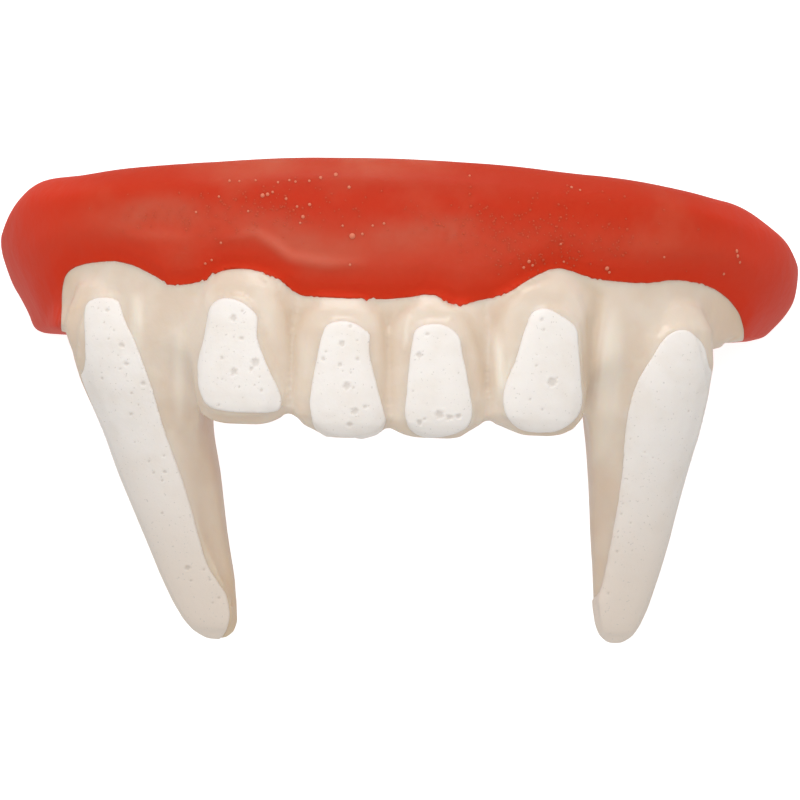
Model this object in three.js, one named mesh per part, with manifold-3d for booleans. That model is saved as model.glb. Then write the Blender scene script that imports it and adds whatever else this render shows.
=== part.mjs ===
// An upper set of costume vampire teeth, poured in soft vinyl: a red gum channel that slips over the wearer's own teeth,
// one cream casting with four incisors and two long fangs, and a white face inlaid in the front of each tooth.
// All sizes are in millimetres. While it is built, +X runs along the row of teeth to the viewer's right, +Y runs up from
// the teeth into the gum and +Z comes out of the front. The last step turns it onto its heels and fang tips.
import * as THREE from "three";
import Module from "manifold-3d";

const wasm = await Module();
wasm.setup();

// The arch, seen from above
const archWidth = 65.1; // across the outer wall at its widest
const archDepth = 30; // from the front to where the arch is widest
const archSquareness = 2.6; // 2 is an ellipse, more is squarer at the fangs
const heelDepth = 25.5; // from the front to the back corner of each heel's lower edge

// The gum channel, in cross-section
const rimRise = 12.3; // from the channel's floor up to the front rim
const wallThickness = 2.9;
const channelWidth = 7.8;
const floorThickness = 2.3;
const backWallThickness = 2;
const backWallRise = 6.7; // from the channel's floor up to the back wall's rim
const rimRounding = 1.4;
const cornerRounding = 0.8;
const gumLine = 6.2; // the highest point where the red meets the cream, above the flange's lower edge
const rollHeight = 2.6; // from the gum line up to the crest of the gum's roll
const rollBulge = 1;
const heelFlare = 2.6; // how far the lower edge of each leg is drawn in
const flareHeight = 7.5;
const legRollHeight = 5.7; // what rollHeight grows to on the legs
const leftEdgeRise = -0.5; // how far the flange's lower edge has warped up by the left heel
const rightEdgeRise = 1.2;
const facingDepth = 1.6; // how deep the cream is let into the front of the gum

// The teeth
const incisorPitch = 7.85;
const incisorDrop = 8.1; // from the flange's lower edge down to the biting edge
const incisorBulge = 1.7;
const incisorThickness = 4.2;
const fangSpan = 13.2; // the length of arch that one fang's root takes
const fangWidth = 10.6;
const fangDepth = 9;
const fangDrop = 24.7; // from the flange's lower edge down to the longer tip
const fangRootRise = 4.6;
const fangSetBack = 2.4; // how far the middle of a fang's root lies behind the face of the arch
const bandBulge = 0.15;
const bandThickness = 4;

// The white faces
const faceDepth = 0.8;
const faceProud = 0.25;
const faceMargin = 0.4; // the least that a face stays away from the side of its tooth
const fangFaceInset = 0.24; // how far the outer edge of a fang's face is drawn in at its top, as a share of half the fang
const fangFaceBottom = 0.97; // where a fang's face ends, as a share of the fang's drop
const pocketReach = 1; // how far the tool that forms a face's pocket stands out of the tooth
const castGap = 0.3; // between two pours

const restTilt = THREE.MathUtils.degToRad(28); // how far its front leans when it lies on its heels and fang tips

// How finely the curved forms are cut into flat faces
const archStep = 1.5;
const toothSides = 12;
const faceColumns = 6;
const faceRowCount = 11;
const fangFaceRowCount = 18;
const slopeStep = 0.01;

// Rim height along half the arch, as shares of its half length and of rimRise
const rimRows = [
  { along: 0.0, height: 1.0 },
  { along: 0.15, height: 0.984 },
  { along: 0.31, height: 0.935 },
  { along: 0.4, height: 0.905 },
  { along: 0.48, height: 0.875 },
  { along: 0.56, height: 0.835 },
  { along: 0.67, height: 0.8 },
  { along: 0.75, height: 0.715 },
  { along: 0.82, height: 0.59 },
  { along: 0.9, height: 0.48 },
  { along: 1.1, height: 0.3 },
];

// The wavy edge of the gum. A tooth of 1 is one incisor from the middle, 2 is where a fang's root starts and 3 is its far
// side. Heights are shares of gumLine.
const gumLineRows = [
  { tooth: -3.6, height: 0.0 },
  { tooth: -3.08, height: 0.6 },
  { tooth: -3.0, height: 0.72 },
  { tooth: -2.88, height: 0.83 },
  { tooth: -2.6, height: 0.885 },
  { tooth: -2.38, height: 0.78 },
  { tooth: -2.2, height: 0.59 },
  { tooth: -2.0, height: 0.65 },
  { tooth: -1.84, height: 0.79 },
  { tooth: -1.55, height: 0.84 },
  { tooth: -1.2, height: 0.72 },
  { tooth: -0.95, height: 0.51 },
  { tooth: -0.35, height: 0.5 },
  { tooth: 0.05, height: 0.52 },
  { tooth: 0.38, height: 0.6 },
  { tooth: 0.6, height: 0.45 },
  { tooth: 0.85, height: 0.54 },
  { tooth: 1.1, height: 0.62 },
  { tooth: 1.4, height: 0.86 },
  { tooth: 1.65, height: 1.0 },
  { tooth: 2.05, height: 0.87 },
  { tooth: 2.35, height: 0.84 },
  { tooth: 2.6, height: 0.91 },
  { tooth: 2.8, height: 0.87 },
  { tooth: 2.98, height: 0.76 },
  { tooth: 3.14, height: 0.57 },
  { tooth: 3.26, height: 0.36 },
  { tooth: 3.34, height: 0.15 },
  { tooth: 3.6, height: 0.0 },
];
const creamStart = -3.08;
const creamEnd = 3.32;

// The lower edge of the cream band behind the teeth, as shares of incisorDrop above (+) or below (-) the flange's edge
const bandRows = [
  { tooth: -3.08, edge: -0.06 },
  { tooth: -2.2, edge: -0.16 },
  { tooth: -1.85, edge: -0.62 },
  { tooth: 0.0, edge: -0.68 },
  { tooth: 1.85, edge: -0.62 },
  { tooth: 2.2, edge: -0.16 },
  { tooth: 3.32, edge: 0.07 },
];

// How one incisor swells from its biting edge (0) to the top of its root (1): the half width is a share of half a pitch,
// and the front and back are shares of incisorBulge and incisorThickness
const incisorRows = [
  { along: 0.0, width: 0.36, front: 0.1, back: 0.3 },
  { along: 0.015, width: 0.58, front: 0.42, back: 0.5 },
  { along: 0.05, width: 0.81, front: 0.68, back: 0.68 },
  { along: 0.12, width: 0.99, front: 0.88, back: 0.82 },
  { along: 0.28, width: 1.05, front: 1.0, back: 0.95 },
  { along: 0.55, width: 1.04, front: 0.92, back: 1.0 },
  { along: 0.75, width: 0.98, front: 0.74, back: 1.0 },
  { along: 0.88, width: 0.82, front: 0.52, back: 0.9 },
  { along: 0.96, width: 0.58, front: 0.3, back: 0.7 },
  { along: 1.0, width: 0.34, front: 0.14, back: 0.5 },
];

// The four incisors. edge is a share of incisorDrop and root of gumLine, and lean is how far the biting edge sits to the
// right of the root. A face's bottom is a share of the tooth's own drop and its top a share of gumLine. Leans, half widths
// and sideways shifts are shares of half a pitch.
const incisors = [
  { name: "lateral_face_left", tooth: -1.53, edge: 0.89, root: 0.84, lean: 0.0, bottom: 0.92, top: 0.48,
    bottomHalf: 0.93, topHalf: 0.44, bottomShift: 0.04, topShift: -0.18 },
  { name: "central_face_left", tooth: -0.54, edge: 1.0, root: 0.56, lean: 0.1, bottom: 0.965, top: 0.2,
    bottomHalf: 0.77, topHalf: 0.42, bottomShift: 0.11, topShift: 0.03 },
  { name: "central_face_right", tooth: 0.48, edge: 0.97, root: 0.6, lean: -0.1, bottom: 0.96, top: 0.21,
    bottomHalf: 0.72, topHalf: 0.49, bottomShift: 0.12, topShift: -0.08 },
  { name: "lateral_face_right", tooth: 1.48, edge: 0.9, root: 0.94, lean: 0.0, bottom: 0.95, top: 0.46,
    bottomHalf: 0.86, topHalf: 0.53, bottomShift: 0.08, topShift: 0.27 },
];

// How a fang narrows from the top of its root (0) to its tip (1). Widths are shares of fangWidth, front and back are
// shares of half fangDepth, and each ridge is where the white face starts, from -1 on the side next to the incisors to 1.
const fangRows = [
  { along: 0.0, leftWidth: 0.5, rightWidth: 0.5, front: 0.3, back: 0.5, leftRidge: 0.2, rightRidge: 0.3 },
  { along: 0.04, leftWidth: 0.8, rightWidth: 0.8, front: 0.52, back: 0.7, leftRidge: 0.13, rightRidge: 0.22 },
  { along: 0.1, leftWidth: 0.98, rightWidth: 0.98, front: 0.72, back: 0.85, leftRidge: 0.06, rightRidge: 0.12 },
  { along: 0.2, leftWidth: 1.02, rightWidth: 1.03, front: 0.92, back: 0.95, leftRidge: -0.04, rightRidge: 0.0 },
  { along: 0.3, leftWidth: 0.97, rightWidth: 0.97, front: 1.0, back: 0.95, leftRidge: -0.15, rightRidge: -0.16 },
  { along: 0.42, leftWidth: 0.88, rightWidth: 0.87, front: 0.96, back: 0.88, leftRidge: -0.24, rightRidge: -0.27 },
  { along: 0.56, leftWidth: 0.78, rightWidth: 0.75, front: 0.84, back: 0.75, leftRidge: -0.3, rightRidge: -0.35 },
  { along: 0.7, leftWidth: 0.66, rightWidth: 0.62, front: 0.68, back: 0.6, leftRidge: -0.37, rightRidge: -0.44 },
  { along: 0.82, leftWidth: 0.57, rightWidth: 0.49, front: 0.52, back: 0.46, leftRidge: -0.56, rightRidge: -0.58 },
  { along: 0.9, leftWidth: 0.49, rightWidth: 0.405, front: 0.42, back: 0.37, leftRidge: -0.82, rightRidge: -0.86 },
  { along: 0.95, leftWidth: 0.41, rightWidth: 0.325, front: 0.34, back: 0.29, leftRidge: -0.92, rightRidge: -0.92 },
  { along: 0.98, leftWidth: 0.31, rightWidth: 0.24, front: 0.25, back: 0.21, leftRidge: -0.92, rightRidge: -0.92 },
  { along: 1.0, leftWidth: 0.15, rightWidth: 0.11, front: 0.12, back: 0.1, leftRidge: -0.92, rightRidge: -0.92 },
];

// The inner side of a fang's front, from its inner edge (0) to the ridge (1), as shares of the front's depth
const fangInnerRows = [
  { along: 0.0, front: 0.0 },
  { along: 0.06, front: 0.34 },
  { along: 0.2, front: 0.58 },
  { along: 0.55, front: 0.66 },
  { along: 0.85, front: 0.84 },
  { along: 1.0, front: 1.0 },
];

// The two fangs. drop is a share of fangDrop and lean, towards the middle, a share of fangWidth. A face starts at a
// share of the fang's height, and faceEdge is how far its outer edge is from the fang's side at the top.
const fangs = [
  { name: "fang_face_left", tooth: -2.645, drop: 1.0, lean: 0.77, width: "leftWidth", ridge: "leftRidge", faceTop: 0.06 },
  { name: "fang_face_right", tooth: 2.52, drop: 0.966, lean: 0.15, width: "rightWidth", ridge: "rightRidge", faceTop: 0.1 },
];
const fangHollowing = [0.08, 0.45]; // where the inner side of the front turns from round to hollow, down the fang
const fangBow = 0.05; // how far a fang bows outwards half way down, as a share of fangWidth

// A smooth curve through a table's rows that never swings past them
function tableValue(rows, from, to, at) {
  const last = rows.length - 1;
  if (at <= rows[0][from]) return rows[0][to];
  if (at >= rows[last][from]) return rows[last][to];
  const slope = (i) => (rows[i + 1][to] - rows[i][to]) / (rows[i + 1][from] - rows[i][from]);
  const tangent = (i) => {
    if (i === 0) return slope(0);
    if (i === last) return slope(last - 1);
    const before = slope(i - 1);
    const after = slope(i);
    return before * after > 0 ? (2 * before * after) / (before + after) : 0;
  };
  const i = rows.findIndex((row) => row[from] > at) - 1;
  const width = rows[i + 1][from] - rows[i][from];
  const t = (at - rows[i][from]) / width;
  return (
    rows[i][to] * (1 + 2 * t) * (1 - t) ** 2 +
    rows[i + 1][to] * t * t * (3 - 2 * t) +
    tangent(i) * width * t * (1 - t) ** 2 -
    tangent(i + 1) * width * t * t * (1 - t)
  );
}

// Half of the arch as points with their distance from the middle, for placing things along it
const archSamples = 600;
const halfArch = [{ x: 0, z: 0, length: 0 }];
for (let i = 1; i <= archSamples; i++) {
  const angle = (Math.PI / 2) * (i / archSamples);
  const x = (archWidth / 2) * Math.sin(angle) ** (2 / archSquareness);
  const z = archDepth * (Math.cos(angle) ** (2 / archSquareness) - 1);
  const before = halfArch[i - 1];
  halfArch.push({ x, z, length: before.length + Math.hypot(x - before.x, z - before.z) });
}
const halfArchLength = halfArch[archSamples].length;

// A point at an arc length from the middle, moved out of the arch's face and up from the flange's lower edge
function archPoint(length, out, up) {
  const side = Math.sign(length) || 1;
  const reach = Math.min(Math.abs(length), halfArchLength);
  const beyond = Math.abs(length) - reach;
  const i = Math.max(1, halfArch.findIndex((sample) => sample.length >= reach));
  const a = halfArch[i - 1];
  const b = halfArch[i];
  const share = (reach - a.length) / (b.length - a.length);
  const before = halfArch[Math.max(0, i - 4)];
  const after = halfArch[Math.min(archSamples, i + 3)];
  const along = new THREE.Vector2(after.x - before.x, after.z - before.z).normalize();
  const x = a.x + (b.x - a.x) * share - out * along.y + beyond * along.x;
  const z = a.z + (b.z - a.z) * share + out * along.x + beyond * along.y;
  return new THREE.Vector3(side * x, up, z);
}

// Arc length at a place in the row of teeth, and the other way round
function toothLength(tooth) {
  const count = Math.abs(tooth);
  return Math.sign(tooth) * (Math.min(count, 2) * incisorPitch + Math.max(count - 2, 0) * fangSpan);
}
function toothAt(length) {
  const reach = Math.abs(length);
  const incisorReach = 2 * incisorPitch;
  const count = reach < incisorReach ? reach / incisorPitch : 2 + (reach - incisorReach) / fangSpan;
  return Math.sign(length) * count;
}

const gumLineAt = (length) => gumLine * tableValue(gumLineRows, "tooth", "height", toothAt(length));
const rimShareAt = (length) => tableValue(rimRows, "along", "height", Math.abs(length) / halfArchLength);


// How far the flange is drawn in at a height, towards the lower edge of each leg
function drawnInAt(length, up) {
  const share = THREE.MathUtils.smoothstep(Math.abs(length) / halfArchLength, 0.45, 0.8);
  return -heelFlare * share * Math.max(0, 1 - up / flareHeight);
}

// The height of the flange's lower edge, which has warped a little in cooling
function lowerEdgeAt(length) {
  return (Math.abs(length) / halfArchLength) * (length < 0 ? leftEdgeRise : rightEdgeRise);
}

// Evenly spaced arc lengths from one place to another
function stations(from, to) {
  const count = Math.ceil((to - from) / archStep);
  return Array.from({ length: count + 1 }, (_, i) => from + ((to - from) * i) / count);
}

// A closed solid through sections of equal point count. place turns a section's point into a point in space.
function loft(sections, place) {
  const perSection = sections[0].length;
  const points = sections.flatMap((section, s) => section.map((point) => place(point, s)));
  const triangles = [];
  for (let s = 0; s < sections.length - 1; s++) {
    for (let i = 0; i < perSection; i++) {
      const a = s * perSection + i;
      const b = s * perSection + ((i + 1) % perSection);
      triangles.push([a, b, b + perSection], [a, b + perSection, a + perSection]);
    }
  }
  const cap = (section, start, reversed) => {
    const faces = THREE.ShapeUtils.triangulateShape(section, []);
    const turn = faces.reduce((sum, face) => sum + THREE.ShapeUtils.area(face.map((i) => section[i])), 0);
    const flip = turn * THREE.ShapeUtils.area(section) > 0 === reversed;
    for (const [a, b, c] of faces) {
      const face = flip ? [a, c, b] : [a, b, c];
      triangles.push(face.map((corner) => corner + start));
    }
  };
  cap(sections[0], 0, true);
  cap(sections[sections.length - 1], (sections.length - 1) * perSection, false);
  return solidFrom(points, triangles);
}

function solidFrom(points, triangles) {
  const volume = triangles.reduce(
    (sum, [a, b, c]) => sum + points[a].dot(new THREE.Vector3().crossVectors(points[b], points[c])),
    0,
  );
  const outward = volume > 0 ? triangles : triangles.map(([a, b, c]) => [a, c, b]);
  return new wasm.Manifold(
    new wasm.Mesh({
      numProp: 3,
      vertProperties: new Float32Array(points.flatMap((p) => [p.x, p.y, p.z])),
      triVerts: new Uint32Array(outward.flat()),
    }),
  );
}

// A solid swept along the arch, with a section of [out, up] points at each station
function sweep(from, to, sectionAt) {
  const lengths = stations(from, to);
  const sections = lengths.map((length) => sectionAt(length).map(([out, up]) => new THREE.Vector2(out, up)));
  return loft(sections, (point, s) => archPoint(lengths[s], point.x, point.y));
}

// The channel's section: up the rolled front of the gum, over its rim, down into the channel, and over the back wall
function gumSection(length) {
  const share = rimShareAt(length);
  const rim = floorThickness + rimRise * share;
  const backRim = floorThickness + backWallRise * share;
  const lowest = lowerEdgeAt(length);
  const start = Math.max(gumLineAt(length), lowest + cornerRounding);
  const legShare = THREE.MathUtils.smoothstep(Math.abs(length) / halfArchLength, 0.5, 0.64);
  const roll = THREE.MathUtils.lerp(rollHeight, legRollHeight, legShare);
  const crest = start + Math.min(roll, (rim - rimRounding - start) / 2);
  const outer = (bulge, up) => [rollBulge * bulge + drawnInAt(length, up), up];
  const inside = -wallThickness;
  const channelDrawIn = drawnInAt(length, floorThickness);
  const across = inside - channelWidth;
  const back = across - backWallThickness;
  return [
    [drawnInAt(length, 0) - cornerRounding, lowest],
    outer(0, lowest + cornerRounding / 2),
    outer(0.05, start),
    outer(0.6, start + 0.45 * (crest - start)),
    outer(1, crest),
    outer(0.9, crest + 0.3 * (rim - crest)),
    outer(0.8, crest + 0.6 * (rim - crest)),
    outer(0.55, rim - 1.15 * rimRounding),
    [-0.35 * rimRounding, rim - 0.3 * rimRounding],
    [-wallThickness / 2, rim],
    [0.35 * rimRounding + inside, rim - 0.3 * rimRounding],
    [inside, rim - 1.15 * rimRounding],
    [inside + channelDrawIn, floorThickness + cornerRounding],
    [inside + channelDrawIn - cornerRounding, floorThickness],
    [across + cornerRounding, floorThickness],
    [across, floorThickness + cornerRounding],
    [across, backRim - cornerRounding / 2],
    [across - backWallThickness / 2, backRim],
    [back, backRim - cornerRounding / 2],
    [back, lowest + cornerRounding],
    [back + cornerRounding, lowest],
  ];
}

// The space that belongs to the cream: in front of the gum's inner skin and below the gum line, and under the floor
function toothRoom(grow, floorClearance) {
  const reach = 3 * incisorBulge + fangDepth;
  const inner = -(wallThickness + channelWidth + backWallThickness);
  const deep = -2 * fangDrop;
  return sweep(toothLength(creamStart) - grow, toothLength(creamEnd) + grow, (length) => {
    const ceiling = lowerEdgeAt(length) - floorClearance;
    const top = Math.max(gumLineAt(length), ceiling + castGap) + grow;
    return [
      [reach, top],
      [-facingDepth - grow, top],
      [-facingDepth - grow, ceiling],
      [inner, ceiling],
      [inner, deep],
      [reach, deep],
    ];
  });
}

// The cream band that joins the teeth
function creamBand() {
  return sweep(toothLength(creamStart), toothLength(creamEnd), (length) => {
    const edge = incisorDrop * tableValue(bandRows, "tooth", "edge", toothAt(length));
    const top = gumLineAt(length) + castGap;
    const face = bandBulge + drawnInAt(length, 0);
    return [
      [bandBulge + drawnInAt(length, top), top],
      [-bandThickness, top],
      [-bandThickness, edge + cornerRounding],
      [-bandThickness + cornerRounding, edge],
      [face - cornerRounding, edge],
      [face, edge + cornerRounding],
    ];
  });
}

// An incisor: where its front lies at a height and a place across it, and how its own axes sit on the arch
function incisorForm(tooth) {
  const bottom = -incisorDrop * tooth.edge;
  const top = gumLine * tooth.root;
  const row = (up, key) => tableValue(incisorRows, "along", key, (up - bottom) / (top - bottom));
  const middle = toothLength(tooth.tooth);
  const centre = archPoint(middle, 0, 0);
  const outward = archPoint(middle, 1, 0).sub(centre);
  const halfWidth = (up) => (incisorPitch / 2) * row(up, "width");
  const front = (up, across) =>
    new THREE.Vector2(across * halfWidth(up), incisorBulge * row(up, "front") * Math.sqrt(1 - Math.abs(across) ** 2.6));
  const back = (up, across) =>
    new THREE.Vector2(across * halfWidth(up), -incisorThickness * row(up, "back") * Math.sqrt(1 - across ** 4));
  const place = (point, up) => {
    const x = point.x + (incisorPitch / 2) * tooth.lean * ((top - up) / (top - bottom));
    return new THREE.Vector3(
      centre.x + x * outward.z + point.y * outward.x,
      up,
      centre.z - x * outward.x + point.y * outward.z,
    );
  };
  const heights = incisorRows.map((r) => bottom + (top - bottom) * r.along);
  return { front, back, place, halfWidth, heights, ridge: () => 0, thinning: () => 1 };
}

// A fang, set upright on the arch's corner. It leans in towards the middle, and back by lean and backLean.
function fangForm(fang, backLean) {
  const bottom = -fangDrop * fang.drop;
  const top = fangRootRise;
  const alongAt = (up) => THREE.MathUtils.clamp((top - up) / (top - bottom), 0, 1);
  const row = (up, key) => tableValue(fangRows, "along", key, alongAt(up));
  const side = Math.sign(fang.tooth);
  const root = archPoint(toothLength(fang.tooth), -fangSetBack, 0);
  const halfWidth = (up) => (fangWidth / 2) * row(up, fang.width);
  const front = (up, across) => {
    const ridge = row(up, fang.ridge);
    const fromInnerEdge = Math.min(1, (across + 1) / (ridge + 1));
    const hollow = tableValue(fangInnerRows, "along", "front", fromInnerEdge);
    const round = Math.sqrt(fromInnerEdge * (2 - fromInnerEdge));
    const hollowing = THREE.MathUtils.smoothstep(alongAt(up), ...fangHollowing);
    const share =
      across > ridge
        ? Math.sqrt(1 - ((across - ridge) / (1 - ridge)) ** 2)
        : THREE.MathUtils.lerp(round, hollow, hollowing);
    return new THREE.Vector2(across * halfWidth(up), (fangDepth / 2) * row(up, "front") * share);
  };
  const back = (up, across) =>
    new THREE.Vector2(across * halfWidth(up), (-fangDepth / 2) * row(up, "back") * Math.sqrt(1 - across ** 2));
  const place = (point, up) => {
    const along = alongAt(up);
    const inwards = fangWidth * (fang.lean * along - fangBow * Math.sin(Math.PI * along));
    return new THREE.Vector3(root.x + side * (point.x - inwards), up, root.z + point.y - backLean * along);
  };
  const heights = fangRows.map((r) => top + (bottom - top) * r.along);
  const ridge = (up) => row(up, fang.ridge);
  const thinning = (up) => Math.min(1, 1.4 * row(up, "back"));
  return { front, back, place, halfWidth, heights, ridge, thinning, row };
}

// One ring of points at each height of a tooth's table, with a point on its ridge
function toothRings(form) {
  return form.heights.map((up) => {
    const ridge = form.ridge(up);
    const across = Array.from({ length: toothSides }, (_, i) => Math.cos((Math.PI * i) / toothSides));
    return [
      ...across.map((share) => form.front(up, ridge + (share > 0 ? 1 - ridge : 1 + ridge) * share)),
      ...across.map((share) => form.back(up, -share)),
    ];
  });
}

function toothSolid(form) {
  return loft(toothRings(form), (point, s) => form.place(point, form.heights[s]));
}

// A plate let into the front of a tooth. Each row gives its height and the two places across the tooth where it ends.
// grow widens it on all sides and above makes it stand further out, which turns a face into the pocket that holds it.
function facePlate(form, rows, grow, above) {
  const sections = rows.map(({ up, from, to }) => {
    const spread = grow / form.halfWidth(up);
    const limit = 1 - (faceMargin - grow) / form.halfWidth(up);
    const start = Math.max(from - spread, -limit);
    const end = Math.min(to + spread, limit);
    const depth = faceDepth * form.thinning(up) + grow;
    const samples = Array.from({ length: faceColumns + 1 }, (_, i) => {
      const across = start + ((end - start) * i) / faceColumns;
      const point = form.front(up, across);
      const nearest = THREE.MathUtils.clamp(across, start + spread, end - spread);
      const along = form.front(up, nearest + slopeStep).sub(form.front(up, nearest - slopeStep));
      return { point, outward: new THREE.Vector2(-along.y, along.x).normalize() };
    });
    const outside = samples.map(({ point, outward }) => point.clone().addScaledVector(outward, faceProud + above));
    const inside = samples.map(({ point, outward }) => point.clone().addScaledVector(outward, -depth));
    return [...outside, ...inside.reverse()];
  });
  return loft(sections, (point, s) => form.place(point, rows[s].up));
}

// Heights between two ends, closer together at both of them, where the outline is round
function faceHeights(bottom, top, count) {
  return Array.from({ length: count }, (_, i) => {
    const share = (1 - Math.cos((Math.PI * i) / (count - 1))) / 2;
    return { share, up: THREE.MathUtils.lerp(bottom, top, share) };
  });
}

// How much of a face's width is left towards a round end, where share runs from -1 or 1 at the ends to 0 in the middle
const endRound = (share, squareness) => Math.max(0.3, (1 - Math.abs(share) ** squareness) ** (1 / 2.4));

function incisorFaceRows(tooth, form, grow) {
  const bottom = -incisorDrop * tooth.edge * tooth.bottom;
  const top = gumLine * tooth.top;
  return faceHeights(bottom - grow, top + grow, faceRowCount).map(({ share, up }) => {
    const taper = THREE.MathUtils.smoothstep(share, 0.05, 0.95);
    const half = THREE.MathUtils.lerp(tooth.bottomHalf, tooth.topHalf, taper) * endRound(2 * share - 1, 7);
    const shift = THREE.MathUtils.lerp(tooth.bottomShift, tooth.topShift, taper);
    const scale = incisorPitch / 2 / form.halfWidth(up);
    return { up, from: (shift - half) * scale, to: (shift + half) * scale };
  });
}

function fangFaceRows(fang, form, grow) {
  const bottom = -fangDrop * fang.drop * fangFaceBottom;
  const top = fangRootRise - (fangRootRise + fangDrop * fang.drop) * fang.faceTop;
  return faceHeights(bottom - grow, top + grow, fangFaceRowCount).map(({ share, up }) => {
    const ridge = form.row(up, fang.ridge);
    const outerEdge = 1 - fangFaceInset * THREE.MathUtils.smoothstep(share, 0.7, 0.95);
    const half = ((outerEdge - ridge) / 2) * endRound(Math.max(2 * share - 1, 0), 12);
    const middle = (ridge + outerEdge) / 2;
    return { up, from: middle - half, to: middle + half };
  });
}

// How far a fang has to lean back for its tip to reach the surface that the heels stand on
const restHeight = -heelDepth * Math.cos(restTilt);
function backLeanFor(fang) {
  let least = 0;
  let most = fangDrop;
  for (let i = 0; i < 40; i++) {
    const lean = (least + most) / 2;
    const form = fangForm(fang, lean);
    const heights = toothRings(form).flatMap((ring, r) =>
      ring.map((point) => {
        const { y, z } = form.place(point, form.heights[r]);
        return y * Math.sin(restTilt) + z * Math.cos(restTilt);
      }),
    );
    if (Math.min(...heights) > restHeight) least = lean;
    else most = lean;
  }
  return least;
}

// Everything below the surface that it rests on, which cuts the heels flat
function belowRest() {
  const size = 4 * archWidth;
  return wasm.Manifold.cube([size, size, size], true)
    .translate([0, 0, restHeight - size / 2])
    .rotate([THREE.MathUtils.radToDeg(-restTilt), 0, 0]);
}

// Turns a solid into a mesh, resting on its heels and fang tips
function meshFrom(name, solid, colour) {
  const { vertProperties, triVerts } = solid.getMesh();
  const geometry = new THREE.BufferGeometry();
  geometry.setAttribute("position", new THREE.BufferAttribute(Float32Array.from(vertProperties), 3));
  geometry.setIndex(new THREE.BufferAttribute(Uint32Array.from(triVerts), 1));
  geometry.rotateX(restTilt);
  geometry.computeVertexNormals();
  const mesh = new THREE.Mesh(geometry, new THREE.MeshStandardMaterial({ color: colour }));
  mesh.name = name;
  return mesh;
}

const incisorForms = incisors.map(incisorForm);
const fangForms = fangs.map((fang) => fangForm(fang, backLeanFor(fang)));

const faces = [
  ...incisors.map((tooth, i) => ({ name: tooth.name, form: incisorForms[i], rowsFor: incisorFaceRows, tooth })),
  ...fangs.map((fang, i) => ({ name: fang.name, form: fangForms[i], rowsFor: fangFaceRows, tooth: fang })),
].map(({ name, form, rowsFor, tooth }) => ({
  name,
  plate: facePlate(form, rowsFor(tooth, form, 0), 0, 0),
  pocket: facePlate(form, rowsFor(tooth, form, castGap), castGap, pocketReach),
}));

const legEnd = halfArchLength + wallThickness;
const gum = sweep(-legEnd, legEnd, gumSection)
  .subtract(toothRoom(castGap / 2, cornerRounding))
  .subtract(belowRest());

const toothCasting = wasm.Manifold.union([creamBand(), ...incisorForms.map(toothSolid), ...fangForms.map(toothSolid)])
  .intersect(toothRoom(-castGap / 2, castGap))
  .subtract(wasm.Manifold.union(faces.map(({ pocket }) => pocket)));

const group = new THREE.Group();
group.add(meshFrom("gum", gum, 0xc73f2b));
group.add(meshFrom("tooth_casting", toothCasting, 0xe0cdb9));
for (const { name, plate } of faces) {
  group.add(meshFrom(name, plate, 0xece4da));
}

// The origin goes to the middle of its footprint, on the surface that it rests on
const bounds = new THREE.Box3().setFromObject(group);
group.position.set(-(bounds.min.x + bounds.max.x) / 2, -(bounds.min.y + bounds.max.y) / 2, -bounds.min.z);

export default group;
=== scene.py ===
# %% [markdown]
# # Costume fangs in soft vinyl
#
# All sizes are in millimetres, unless a comment says metres.
#
# A set of upper costume teeth lies on a table. It was poured in one mould in three colours: opaque white
# for the faces of the teeth, a slightly see-through cream for the teeth behind them, and red for the gum.
# The pours have melted together, so there is no gap and no sharp joint between them. The solid model holds
# them as separate pieces, and this script turns those into one soft casting with three finishes.

# %% Load the solid model
import math
import bpy
import numpy as np
from mathutils import Matrix, Vector, noise
from mathutils.kdtree import KDTree


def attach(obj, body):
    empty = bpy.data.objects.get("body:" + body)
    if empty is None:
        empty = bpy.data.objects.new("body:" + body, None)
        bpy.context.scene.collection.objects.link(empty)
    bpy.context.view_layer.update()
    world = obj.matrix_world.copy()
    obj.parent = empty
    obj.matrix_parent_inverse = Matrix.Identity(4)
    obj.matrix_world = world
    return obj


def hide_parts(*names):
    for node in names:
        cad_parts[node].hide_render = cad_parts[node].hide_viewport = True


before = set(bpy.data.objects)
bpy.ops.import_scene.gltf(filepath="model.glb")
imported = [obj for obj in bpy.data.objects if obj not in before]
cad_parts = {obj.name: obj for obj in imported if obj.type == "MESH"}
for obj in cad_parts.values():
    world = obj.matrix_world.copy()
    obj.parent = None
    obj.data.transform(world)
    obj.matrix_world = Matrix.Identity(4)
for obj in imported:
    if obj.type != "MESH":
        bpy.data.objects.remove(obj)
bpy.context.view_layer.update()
bpy.ops.object.select_all(action="DESELECT")
scene = bpy.context.scene
MM = 0.001
print("nodes:", sorted(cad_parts))

# %% [markdown]
# ## Two ways to say where something is
#
# The teeth lie on their heels and fang tips, so the front leans back by 28 degrees. It is easier to think
# of them upright, as they are worn: x runs along the row of teeth, up runs into the gum, and out comes
# towards the viewer. An empty parent could hold that turn, but every finished piece has to sit unturned.
# So two helpers go from worn millimetres to the scene's metres and back, for whole arrays of points.

# %% Worn millimetres to scene metres and back
LEAN = math.radians(28)
WORN_ORIGIN = np.array([-0.05, -1.80, 22.52])


def worn_to_scene(points):
    x, up, out = np.asarray(points, dtype=float).T
    y = up * math.cos(LEAN) - out * math.sin(LEAN)
    z = up * math.sin(LEAN) + out * math.cos(LEAN)
    return (np.stack([x, y, z], axis=1) + WORN_ORIGIN) * MM


def scene_to_worn(points):
    x, y, z = (np.asarray(points, dtype=float) / MM - WORN_ORIGIN).T
    up = y * math.cos(LEAN) + z * math.sin(LEAN)
    out = z * math.cos(LEAN) - y * math.sin(LEAN)
    return np.stack([x, up, out], axis=1)


print("worn origin in the scene:", worn_to_scene([[0, 0, 0]])[0])

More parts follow.
